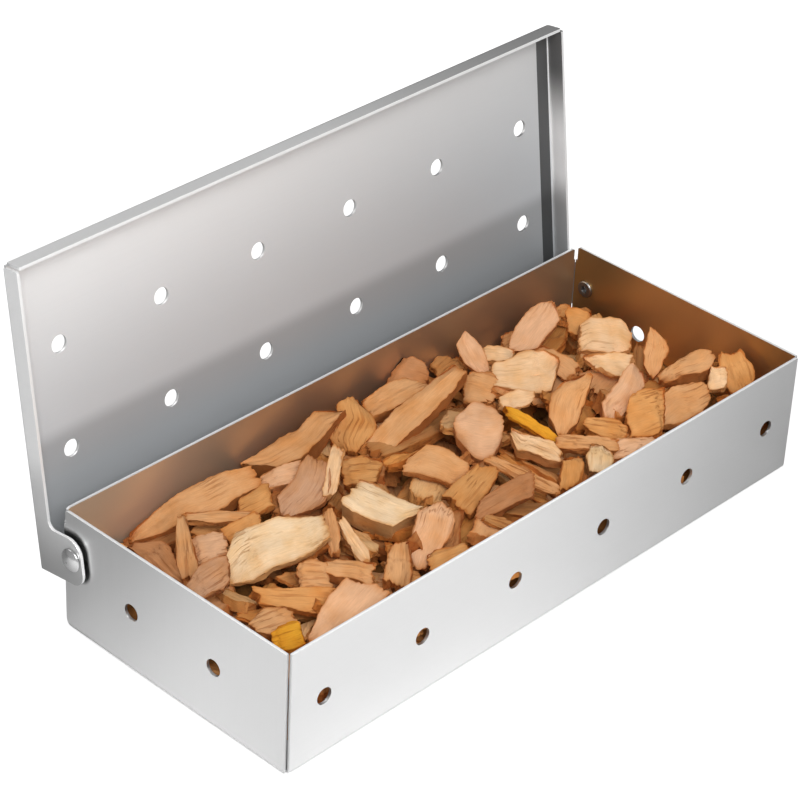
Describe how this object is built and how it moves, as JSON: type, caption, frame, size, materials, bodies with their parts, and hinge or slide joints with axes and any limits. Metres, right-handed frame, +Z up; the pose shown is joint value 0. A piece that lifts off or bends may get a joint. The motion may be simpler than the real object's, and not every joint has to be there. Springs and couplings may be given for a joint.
{
  "type": "grill smoker box",
  "caption": "Stainless-steel smoker box: an open folded tray with air holes, a vented lid hinged on two rivets, and a heap of wood chips inside.",
  "frame": {"origin": "centre of the tray's flat underside", "axes": "+X along the tray towards its right end, +Y from the front wall to the hinged back, +Z up"},
  "size_m": [0.2174, 0.108, 0.1087],
  "materials": {
    "tray_steel": "brushed",
    "lid_steel": "brushed",
    "rivet_steel": "satin",
    "wood_chip": "matte"
  },
  "bodies": {
    "tray": {"tray": "tray_steel", "hinge_rivet_left": "rivet_steel", "hinge_rivet_right": "rivet_steel", "chips_back_1": "wood_chip", "chips_back_2": "wood_chip", "chips_back_3": "wood_chip", "chips_back_4": "wood_chip", "chips_back_5": "wood_chip", "chips_back_6": "wood_chip", "chips_front_1": "wood_chip", "chips_front_2": "wood_chip", "chips_front_3": "wood_chip", "chips_front_4": "wood_chip", "chips_front_5": "wood_chip", "chips_front_6": "wood_chip", "chips_middle_1": "wood_chip", "chips_middle_2": "wood_chip", "chips_middle_3": "wood_chip", "chips_middle_4": "wood_chip", "chips_middle_5": "wood_chip", "chips_middle_6": "wood_chip"},
    "lid": {"lid": "lid_steel"}
  },
  "joints": [
    {"name": "lid_hinge", "type": "hinge", "parent": "tray", "child": "lid", "pos_m": [0, 0.0382, 0.0261], "axis": [-1, 0, 0], "range_deg": [-98, 28]}
  ]
}
